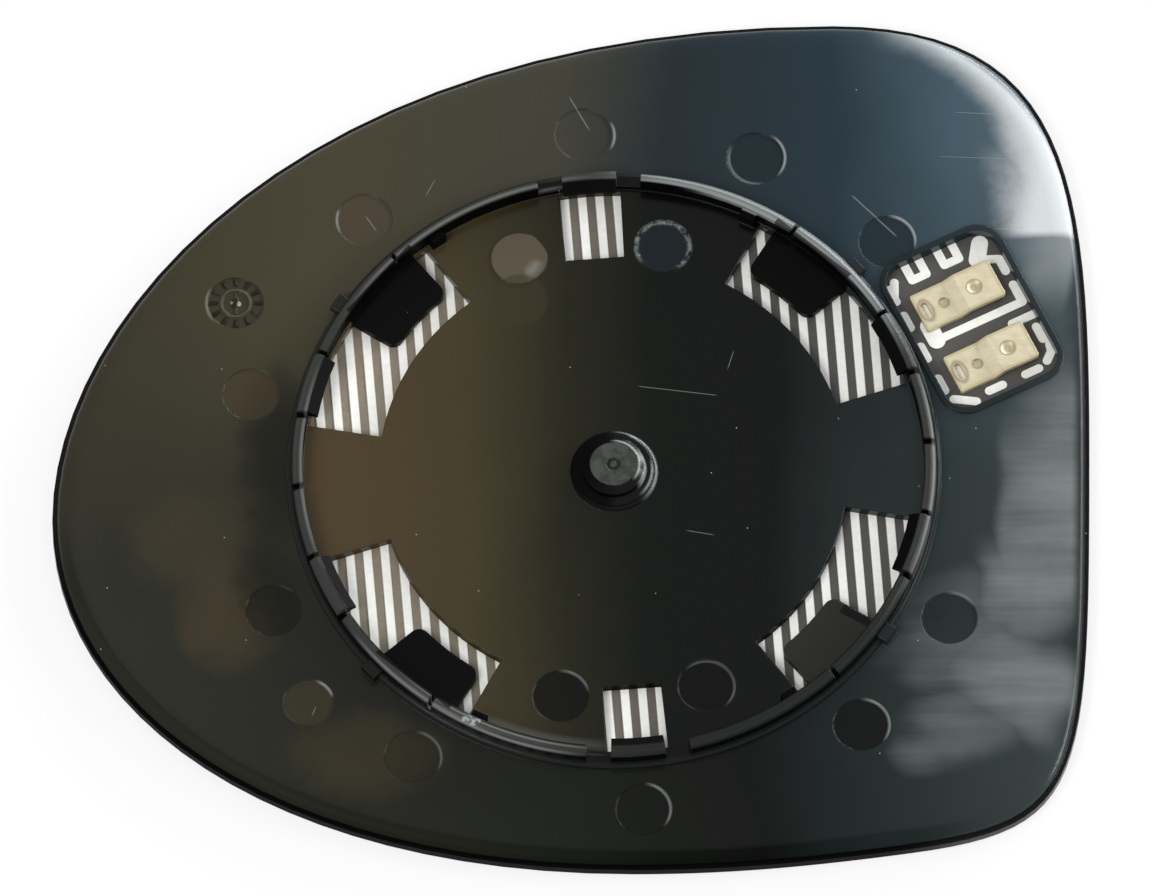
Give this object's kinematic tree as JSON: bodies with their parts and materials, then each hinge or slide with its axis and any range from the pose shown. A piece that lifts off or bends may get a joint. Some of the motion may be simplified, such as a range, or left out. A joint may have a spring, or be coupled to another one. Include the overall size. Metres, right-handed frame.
{
  "type": "car door mirror glass",
  "caption": "Heated door mirror glass with a black backing plate: clip ring with hooks, centre post, heater windows and a terminal window with flat tabs.",
  "frame": {"origin": "point where the centre post's axis meets the plane of the mirror face", "axes": "+Z from the mirror face towards the back of the plate, +X from the post away from the pointed end, +Y towards the plate's highest edge"},
  "size_m": [0.1532, 0.1371, 0.0073],
  "materials": {
    "mirror_glass": "silvered glass with a ground edge",
    "heater_film": "self-adhesive polyester film",
    "heater_track": "printed conductor",
    "backing_plate": "glossy black moulding",
    "terminals": "tinned brass"
  },
  "bodies": {
    "root": {"mirror_glass": "mirror_glass", "heater_film": "heater_film", "heater_track": "heater_track", "backing_plate": "backing_plate", "terminal_upper": "terminals", "terminal_lower": "terminals"}
  },
  "joints": []
}
